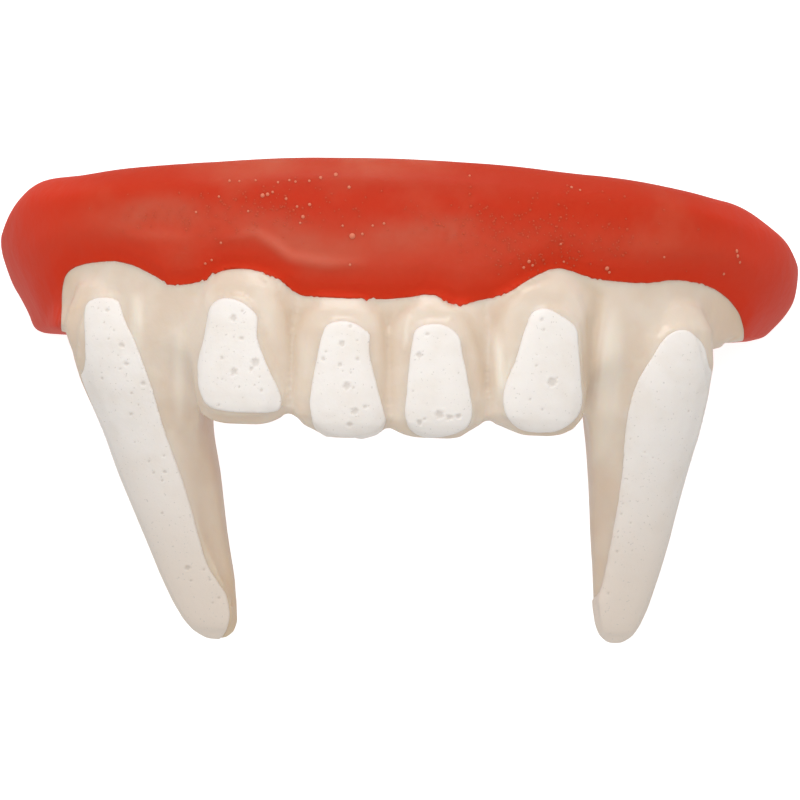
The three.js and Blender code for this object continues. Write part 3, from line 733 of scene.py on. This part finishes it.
shell_inner = second(shell_outer, "shell_inner")
swell(shell_outer, WHITE_PROUD)
swell(shell_inner, WHITE_PROUD - WHITE_DEPTH)
cut(shell_outer, "DIFFERENCE", shell_inner)
white_faces = {}
for node, outline in OUTLINES.items():
    cutter = face_cutter(node, outline)
    face = second(shell_outer, "white_" + node.replace("_face", ""))
    cut(face, "INTERSECT", cutter)
    one_skin(face, WHITE_GRAIN)
    face = biggest_part(face)
    soften(face, WHITE_SOFTENING)
    bpy.ops.object.shade_smooth()
    bpy.data.objects.remove(cutter)
    white_faces[node] = face
    print(face.name, len(face.data.polygons), "faces")
for spare in (shell_outer, shell_inner, casting, curtain, backing, legs):
    bpy.data.objects.remove(spare)

# %% [markdown]
# ## Bubbles burst in the white
#
# Air has left small pits in the white faces, which look grey inside. A dark dot in the finish would look
# flat in slanting light. So each pit is a dish pressed into the surface, and its depth is kept as an
# attribute, so that the finish can paint shade into it too.

# %% Places of the pits
# x, up and radius
PITS = {
    "lateral_face_left": [
        (-12.9, 1.2, 0.4), (-12.2, 1.8, 0.16), (-12, 0.9, 0.13), (-12.2, -0.4, 0.24), (-12.8, -0.3, 0.12),
        (-14.2, 0.5, 0.1), (-15, -1.6, 0.1), (-13.7, -2, 0.2), (-11, -2.3, 0.48), (-11.3, -2.8, 0.24),
        (-10.6, -3.4, 0.14), (-12.7, -3.1, 0.4), (-13.6, -3.7, 0.12), (-12.2, -4.3, 0.12),
        (-10.4, -4.5, 0.2), (-13.8, -5.8, 0.16), (-11.9, -5.1, 0.1), (-11, -4.1, 0.12)],
    "central_face_left": [
        (-4.1, -0.5, 0.36), (-2.9, -0.2, 0.16), (-5.4, -1.2, 0.16), (-5.6, -1.8, 0.24), (-2.8, -1.7, 0.24),
        (-4.2, -2.2, 0.24), (-4, -2.7, 0.13), (-3.3, -2.8, 0.16), (-3.6, -3.9, 0.44), (-3.1, -4, 0.16),
        (-5.9, -3, 0.1), (-2.9, -5.9, 0.4), (-2.1, -5.5, 0.24), (-1.8, -5.4, 0.12), (-3.3, -7, 0.32),
        (-3.5, 0.9, 0.24)],
    "central_face_right": [
        (2.1, -1.2, 0.36), (2.7, 0.5, 0.24), (3.5, 0.2, 0.12), (4.1, -2.3, 0.12), (5.3, -2.5, 0.1),
        (1.7, -4.1, 0.1), (2.3, -6.6, 0.36), (2.7, -6.3, 0.16), (3.9, -5.9, 0.48), (4.7, -6.1, 0.32),
        (5.4, -6, 0.32), (3.8, -3.9, 0.1), (2.3, -2.6, 0.1)],
    "lateral_face_right": [
        (11.8, 2, 0.24), (12, 1.2, 0.2), (11.5, -0.8, 0.12), (11.5, -1.7, 0.16), (12.8, -3, 0.52),
        (13.2, -2.6, 0.16), (11.1, -4.4, 0.16), (9.8, -3.6, 0.1), (12.1, -5.2, 0.16), (13.9, -3.9, 0.1)],
    "fang_face_left": [
        (-23, 1.5, 0.24), (-23.7, 1.6, 0.12), (-23.2, 0.5, 0.12), (-22.4, -0.1, 0.16), (-22.8, -0.8, 0.16),
        (-21.7, -1.3, 0.32), (-22, -2.1, 0.12), (-21.3, -2.8, 0.28), (-21.8, -3.2, 0.12), (-23.2, -4, 0.16),
        (-19.9, -4.3, 0.28), (-20.8, -5.1, 0.16), (-20.2, -6, 0.12), (-20.8, -6.8, 0.2), (-20.4, -9, 0.12),
        (-18, -10, 0.16), (-19.2, -10.5, 0.16), (-17.9, -11.3, 0.2), (-18.8, -11.4, 0.16),
        (-18.1, -12, 0.16), (-16.6, -14.9, 0.12), (-18, -14.6, 0.16), (-15.8, -18.9, 0.32),
        (-14.5, -19, 0.16), (-14, -19.8, 0.16), (-15.5, -19.9, 0.16), (-13.2, -21.2, 0.16),
        (-13.7, -21.6, 0.12)],
    "fang_face_right": [
        (20.4, -8.3, 0.12), (21.1, -8.7, 0.12), (21.5, -8.8, 0.1), (23.8, -4.9, 0.12), (19.2, -7.3, 0.1),
        (18.8, -11.9, 0.11), (18.8, -12.5, 0.11), (18.7, -13.3, 0.13), (19.5, -14, 0.13),
        (18.5, -16.3, 0.18), (18.5, -15.2, 0.12), (19.4, -15.6, 0.1), (19.7, -16.2, 0.1),
        (18.4, -17.2, 0.1), (17.9, -19.7, 0.16)],
}
print("pits:", sum(len(rows) for rows in PITS.values()))

# %% Press the pits
PIT_GRAIN = 0.22
DEEPEST_PIT = 0.08
RIMMED_FROM = 0.3
# shares of a pit's radius
PIT_REACH = 0.85
PIT_UNEVENNESS = 0.45
PIT_STEEPNESS = 0.32
RIM_AT = 1.05
RIM_WIDTH = 0.22
# share of a pit's depth
RIM_HEIGHT = 0.3
DISH_POWER = 0.7
FACING_PITS = (0.1, 0.3)


def give(piece, name, values):
    """Keep one number for each point of a piece, for its finish."""
    attribute = piece.data.attributes.new(name, "FLOAT", "POINT")
    attribute.data.foreach_set("value", values)


def seen_flat(points):
    """Where points are seen, drawn at the arch's front."""
    scale = (CAMERA_DISTANCE / (CAMERA_DISTANCE - points[:, 2]))[:, None]
    return (points[:, :2] - LOOK_AT[:2]) * scale + LOOK_AT[:2]


for node, face in white_faces.items():
    points, normals = worn_points(face), outward(face)
    flat = seen_flat(points)
    facing = fade(normals[:, 2], *FACING_PITS)
    pit = np.zeros(len(points))
    uneven = np.array([noise.noise((x / PIT_GRAIN, up / PIT_GRAIN, 4)) for x, up in flat])
    for x, up, radius in PITS[node]:
        reach = radius * (PIT_REACH + PIT_UNEVENNESS * uneven)
        away = np.linalg.norm(flat - (x, up), axis=1) / reach
        dish = np.clip(1 - away ** 2, 0, 1)
        rim = RIM_HEIGHT * np.exp(-((away - RIM_AT) / RIM_WIDTH) ** 2) * (radius > RIMMED_FROM)
        depth = min(DEEPEST_PIT, radius * PIT_STEEPNESS)
        points -= normals * ((dish ** DISH_POWER - rim) * facing * depth)[:, None]
        pit = np.maximum(pit, dish)
    set_worn_points(face, points)
    give(face, "pit", pit * facing)
    # how far down each point lies, for the painted shade towards the fang tips
    give(face, "drop", -points[:, 1])
    print(face.name, "has", len(PITS[node]), "pits")

# %% [markdown]
# ## Bubbles in the gum
#
# Fine air bubbles sit under the gum's skin and show as pale beads. A spotted finish would leave its shine
# flat, so they are small balls, set into the skin by half or more. The bigger ones are placed one by one,
# and the specks are strewn in five patches with a fixed seed.

# %% Places of bubbles and specks
# x, up and radius
BUBBLES = [
    (-13.6, 12.2, 0.13), (-12.8, 12.2, 0.11), (-11.5, 12.3, 0.11), (-10.9, 11.1, 0.21), (-10.5, 11.2, 0.18),
    (-10.1, 11.4, 0.13), (-9.7, 12.2, 0.12), (-8.8, 12.4, 0.12), (-8.3, 12.3, 0.12), (-7.2, 12.4, 0.13),
    (-6.3, 12.7, 0.16), (-5.1, 13, 0.19), (-9, 10.9, 0.14), (-8.1, 10.3, 0.13), (-7.1, 10.5, 0.16),
    (-7.6, 9.5, 0.18), (-7.8, 9, 0.12), (-4, 12, 0.16), (-3.6, 8.1, 0.29), (-4.4, 8.9, 0.12),
    (-2.8, 8.3, 0.13), (-2, 9, 0.12), (-1.1, 9.2, 0.13), (-3.7, 5.8, 0.13), (-16.2, 9.6, 0.12),
    (-14.4, 10.9, 0.12), (-12, 9.8, 0.12), (-14.1, 7.2, 0.12), (10.6, 6.6, 0.18), (10.9, 6.3, 0.14),
    (10.2, 6.1, 0.14), (13.1, 8.1, 0.12), (13.4, 6.7, 0.12), (16.9, 6.3, 0.21), (17.1, 6, 0.14),
    (27.5, 8.2, 0.19), (27.6, 7.8, 0.18), (27.8, 7.3, 0.14), (26.5, 6.3, 0.14), (21.5, 7.4, 0.11),
    (5.6, 13.3, 0.11), (13.8, 12.7, 0.14), (14.5, 12.5, 0.11), (-15.3, 5.5, 0.12), (-14.8, 5.8, 0.12)]
# strewn patches: middle, half size and number
STREWN = [((-9, 10.2), (9, 2.4), 110), ((-16, 9.2), (7, 2), 60), ((8, 9.8), (10, 3.0), 110),
          ((13, 8.6), (10, 3.4), 130), ((11, 6.8), (5, 1.0), 40)]
STREWN_SPREAD = 0.45
LEAST_SPECK = 0.06
SPECK_RANGE = 0.07

chance = np.random.default_rng(7)
specks = []
for (x, up), (half_x, half_up), number in STREWN:
    for spread_x, spread_up, size in chance.normal(0, STREWN_SPREAD, (number, 3)):
        radius = LEAST_SPECK + SPECK_RANGE * abs(size)
        specks.append((x + spread_x * half_x, up + spread_up * half_up, radius))
print("specks:", len(specks))

# %% One ball to copy
bpy.ops.mesh.primitive_ico_sphere_add(subdivisions=2, radius=MM)
first_ball = bpy.context.object
ball = np.array([vertex.co for vertex in first_ball.data.vertices])
ball_faces = np.array([polygon.vertices for polygon in first_ball.data.polygons])
bpy.data.objects.remove(first_ball)
print("each ball has", len(ball_faces), "faces")

# %% Set the balls into the gum
# how far out the rays start, and how far back a hit still lies on the front
START_OUT = 30
DEEPEST_FRONT = -12
inward = -Vector(axes[2])


def half_sunk(name, piece, places, sunk):
    """Small balls set into the front of a piece, by a share of their radius."""
    spots, faces = [], []
    for x, up, radius in places:
        start = Vector(worn_to_scene([(x, up, START_OUT)])[0])
        hit, spot, normal = piece.ray_cast(start, inward)[:3]
        if hit and scene_to_worn([spot])[0][2] > DEEPEST_FRONT:
            faces.append(ball_faces + len(ball) * len(spots))
            spots.append(ball * radius + spot - normal * radius * MM * sunk)
    mesh = bpy.data.meshes.new(name)
    mesh.from_pydata(np.concatenate(spots).tolist(), [], np.concatenate(faces).tolist())
    balls = bpy.data.objects.new(name, mesh)
    scene.collection.objects.link(balls)
    print(name, len(spots))
    return balls


bubbles = half_sunk("vinyl_bubbles", gum, BUBBLES, sunk=0.5)
fine_bubbles = half_sunk("vinyl_specks", gum, specks, sunk=0.6)
only(bubbles, fine_bubbles)
bpy.ops.object.shade_smooth()

# %% [markdown]
# ## What the finishes need to know
#
# The red is milky in drawn streaks and lighter at its edge. The rolls and ridges get a painted highlight
# and the grooves painted shade, and the cream darkens and yellows towards the fang tips, partly as painted
# shade. Vertex paint by hand could say where, but it would be lost with each new mesh. So these places are
# worked out for each point and kept as attributes.

# %% Heights and creases for the finishes
MILKY = [
    [(-24.5, 8.6), (-19.0, 9.6), (-13.5, 9.3)], [(-13.5, 9.0), (-10.0, 8.4), (-6.0, 6.9), (-1.5, 6.9)],
    [(-17.0, 13.0), (-12.0, 13.6), (-7.0, 14.0)], [(-8.0, 14.0), (-2.0, 14.2), (4.0, 14.1)],
    [(-3.0, 7.6), (1.5, 8.4), (6.0, 9.0)]]
MILKY_WIDTH = 1.5
ROLL_SPREAD = 1.3
GROOVE_SPREAD = 2.2
FULL_CREASE = 0.2

points = worn_points(gum)
give(gum, "milky", np.max([stroke_weight(points, MILKY_WIDTH, path) for path in MILKY], axis=0))
give(gum, "worn_up", points[:, 1])
for piece in (gum, teeth):
    points = worn_points(piece)
    # painted light from the strokes: a highlight along the rolls and ridges, shade along the grooves
    crease = np.zeros(len(points))
    for width, stroke_height, path in STROKES:
        spread = ROLL_SPREAD if stroke_height > 0 else GROOVE_SPREAD
        crease += stroke_weight(points, width * spread, path) * stroke_height / FULL_CREASE
    give(piece, "side", np.abs(points[:, 0]))
    give(piece, "gum_height", above_gum_line(points))
    give(piece, "crease", crease)
    only(piece)
    bpy.ops.object.shade_smooth()
    print(piece.name, "has creases from", crease.min().round(2), "to", crease.max().round(2))

# %% [markdown]
# ## Finishes
#
# The vinyl is soft and waxy: light goes a little way in and comes out again, so it has some subsurface and
# a broad, weak shine. The nodes could be joined one by one, but a small helper class keeps them short.


# %% Helper for materials
def linear(red, green, blue):
    """A colour as a screen shows it, in the scene's linear values."""
    shares = [value / 255 for value in (red, green, blue)]
    return (*[s / 12.92 if s <= 0.04045 else ((s + 0.055) / 1.055) ** 2.4 for s in shares], 1)


class Finish:
    """A material with short ways to add and join nodes."""

    def __init__(self, name, roughness, shine=0.5):
        self.material = bpy.data.materials.new(name)
        self.material.use_nodes = True
        self.tree = self.material.node_tree
        self.shader = self.tree.nodes["Principled BSDF"]
        self.shader.inputs["Roughness"].default_value = roughness
        self.shader.inputs["Specular IOR Level"].default_value = shine

    def let_light_in(self, weight, radius, scale):
        self.shader.inputs["Subsurface Weight"].default_value = weight
        self.shader.inputs["Subsurface Radius"].default_value = radius
        self.shader.inputs["Subsurface Scale"].default_value = scale * MM

    def node(self, kind, inputs=None, **settings):
        node = self.tree.nodes.new("ShaderNode" + kind)
        for key, value in settings.items():
            setattr(node, key, value)
        for key, value in (inputs or {}).items():
            self.join(value, node.inputs[key])
        return node

    def join(self, value, socket):
        if isinstance(value, bpy.types.NodeSocket):
            self.tree.links.new(value, socket)
        else:
            socket.default_value = value

    def attribute(self, name):
        return self.node("Attribute", attribute_name=name).outputs["Fac"]

    def noise(self, grain, detail=2.0):
        place = self.node("TexCoord").outputs["Object"]
        return self.node("TexNoise", {"Vector": place, "Scale": 1 / (grain * MM), "Detail": detail,
                                      "Roughness": 0.5}).outputs["Fac"]

    def ramp(self, value, low, high, to_low=0.0, to_high=1.0):
        return self.node("MapRange", {"Value": value, "From Min": low, "From Max": high, "To Min": to_low,
                                      "To Max": to_high}, interpolation_type="SMOOTHSTEP").outputs["Result"]

    def mix(self, share, first, other):
        node = self.node("Mix", data_type="RGBA")
        self.join(share, node.inputs[0])
        self.join(first, node.inputs[6])
        self.join(other, node.inputs[7])
        return node.outputs[2]

    def times(self, first, other):
        return self.node("Math", {0: first, 1: other}, operation="MULTIPLY").outputs["Value"]

    def paint(self, colour, *bumps):
        """Each bump is a height and the millimetres that a full step of it stands."""
        self.join(colour, self.shader.inputs["Base Color"])
        normal = None
        for height, distance in bumps:
            bump = self.node("Bump", {"Height": height, "Strength": 1.0, "Distance": distance * MM})
            if normal is not None:
                self.join(normal, bump.inputs["Normal"])
            normal = bump.outputs["Normal"]
        self.join(normal, self.shader.inputs["Normal"])
        print(self.material.name, "has", len(self.tree.nodes), "nodes")
        return self.material


# %% [markdown]
# The red is deepest just above the teeth and paler across the middle of its front. Its rolls get a painted
# highlight, its top rim a painted sheen, and its ends a deeper, brighter red as painted light. Milky clouds
# run through it. One noise would look the same everywhere, so layers are laid over each other, each with its
# own place and share.

# %% Red vinyl
DEEP_RED = linear(222, 56, 22)
WARM_RED = linear(208, 56, 27)
CLOUD_RED = linear(210, 80, 53)
BELLY_RED = linear(208, 92, 66)
RIM_SHEEN_RED = linear(188, 62, 40)
MILK_RED = linear(204, 98, 74)
ROLL_HIGHLIGHT_RED = linear(224, 122, 98)
END_LIGHT_RED = linear(226, 52, 18)
EDGE_RED = linear(226, 92, 60)

red = Finish("red_vinyl", roughness=0.5, shine=0.12)
red.let_light_in(0.35, radius=(1.0, 0.25, 0.12), scale=0.9)
height = red.attribute("gum_height")
up = red.attribute("worn_up")
above = red.ramp(height, 0.0, 3.4)
clouds = red.times(red.ramp(red.noise(6, 3), 0.5, 0.75, 0.0, 0.6), above)
belly = red.times(red.ramp(up, 11.0, 7.5, 0.0, 0.36), above)
# painted sheen: the gum turns paler and hazier towards its top rim
rim = red.ramp(up, 10.5, 14.0, 0.0, 0.6)
milk = red.times(red.ramp(red.attribute("milky"), 0.0, 1.0, 0.0, 0.75),
                 red.ramp(red.noise(4, 3), 0.3, 0.7, 0.4, 1.0))
# painted highlight along the gum's rolls
roll_highlight = red.ramp(red.attribute("crease"), 0.1, 0.9, 0.0, 0.55)
# painted light: a deeper, brighter red at the ends offsets their shade and grazing sheen
ends = red.ramp(red.attribute("side"), 22.0, 31.0, 0.0, 0.7)
edge = red.ramp(height, 0.15, 0.0, 0.0, 0.5)
tone = red.mix(above, DEEP_RED, WARM_RED)
for share, colour in ((clouds, CLOUD_RED), (belly, BELLY_RED), (rim, RIM_SHEEN_RED), (milk, MILK_RED),
                      (roll_highlight, ROLL_HIGHLIGHT_RED), (ends, END_LIGHT_RED), (edge, EDGE_RED)):
    tone = red.mix(share, tone, colour)
gum.data.materials.clear()
gum.data.materials.append(red.paint(tone, (red.noise(2.2, 2), 0.12), (red.noise(0.5, 2), 0.02)))

# %% [markdown]
# The beads are the same vinyl with air behind it, and their paler colour is a painted highlight. Light that
# wanders in such a small ball comes out grey, so they have no subsurface. Joined to the gum, they keep their
# own finishes.

# %% Pale bubbles
BUBBLE_HIGHLIGHT_RED = linear(228, 128, 98)
SPECK_RED = linear(212, 82, 54)

bubble = Finish("bubble_vinyl", roughness=0.35, shine=0.3)
# painted highlight: the beads are paler than the gum
bubbles.data.materials.append(bubble.paint(BUBBLE_HIGHLIGHT_RED, (bubble.noise(0.5, 1), 0.01)))
speck = Finish("speck_vinyl", roughness=0.4, shine=0.12)
fine_bubbles.data.materials.append(speck.paint(SPECK_RED, (speck.noise(0.5, 1), 0.01)))
only(gum, bubbles, fine_bubbles)
bpy.ops.object.join()

# %% [markdown]
# The cream lets the most light in. Its ridges get a painted highlight and the creases between the teeth
# painted shade. It is warmer under the red edge, and darker and yellower down the fangs, partly its own
# tone and partly painted shade. Scattering in a volume would be truer but slow and grainy, and subsurface
# looks the same at this size.

# %% Cream vinyl
PALE_CREAM = linear(236, 221, 204)
DARK_CREAM = linear(230, 211, 191)
GROOVE_SHADE_CREAM = linear(220, 197, 171)
RIDGE_HIGHLIGHT_CREAM = linear(249, 238, 223)
EDGE_CREAM = linear(234, 186, 160)
SIDE_CREAM = linear(238, 206, 174)
TIP_TONE_AND_SHADE_CREAM = linear(223, 197, 162)

cream = Finish("cream_vinyl", roughness=0.33)
cream.let_light_in(0.45, radius=(1.0, 0.75, 0.5), scale=1.1)
height = cream.attribute("gum_height")
crease = cream.attribute("crease")
tone = cream.mix(cream.ramp(cream.noise(3.5), 0.35, 0.7), PALE_CREAM, DARK_CREAM)
# painted shade in the grooves between the teeth
tone = cream.mix(cream.ramp(crease, 0.0, -0.7, 0.0, 0.7), tone, GROOVE_SHADE_CREAM)
# painted highlight along the ridges and rolls
tone = cream.mix(cream.ramp(crease, 0.0, 1.0, 0.0, 0.7), tone, RIDGE_HIGHLIGHT_CREAM)
tone = cream.mix(cream.ramp(height, -0.3, 0.0, 0.0, 0.4), tone, EDGE_CREAM)
tone = cream.mix(cream.ramp(cream.attribute("side"), 24.0, 28.0, 0.0, 0.7), tone, SIDE_CREAM)
# darker and yellower down the fangs: partly the cream's own tone, partly painted shade
tone = cream.mix(cream.ramp(height, -8.0, -22.0), tone, TIP_TONE_AND_SHADE_CREAM)
teeth.data.materials.clear()
teeth.data.materials.append(cream.paint(tone, (cream.noise(1.6, 2), 0.06), (cream.noise(0.45, 2), 0.015)))

# %% [markdown]
# The white is nearly opaque, with a chalky skin. It gets painted shade towards the fang tips and in its
# pits, and fine grey specks too small for pits are left to the finish.

# %% White vinyl
PALE_WHITE = linear(252, 245, 239)
DULL_WHITE = linear(247, 239, 231)
TIP_SHADE_WHITE = linear(240, 226, 212)
SPECKLE_GREY = linear(206, 200, 192)
PIT_SHADE_GREY = linear(170, 160, 148)

white = Finish("white_vinyl", roughness=0.5)
white.let_light_in(0.15, radius=(1.0, 0.85, 0.7), scale=0.5)
tone = white.mix(white.ramp(white.noise(2.5, 3), 0.4, 0.75), PALE_WHITE, DULL_WHITE)
# painted shade: the white darkens and warms towards the fang tips
tone = white.mix(white.ramp(white.attribute("drop"), 6.0, 24.0), tone, TIP_SHADE_WHITE)
speckle = white.times(white.ramp(white.noise(0.22, 1), 0.68, 0.76), 0.5)
tone = white.mix(speckle, tone, SPECKLE_GREY)
# painted shade in the pits, deepest at their middles
tone = white.mix(white.ramp(white.attribute("pit"), 0.0, 0.9, 0.0, 0.3), tone, PIT_SHADE_GREY)
white_material = white.paint(tone, (white.noise(0.9, 2), 0.03), (white.noise(0.25, 2), 0.012))
for face in white_faces.values():
    face.data.materials.clear()
    face.data.materials.append(white_material)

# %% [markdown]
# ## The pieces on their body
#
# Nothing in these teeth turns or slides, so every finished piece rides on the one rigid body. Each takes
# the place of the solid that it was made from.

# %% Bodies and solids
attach(gum, "root")
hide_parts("gum")
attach(teeth, "root")
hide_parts("tooth_casting")
for node, face in white_faces.items():
    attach(face, "root")
    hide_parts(node)
for piece in (gum, teeth, *white_faces.values()):
    print(piece.name, sum(len(polygon.vertices) - 2 for polygon in piece.data.polygons), "triangles")
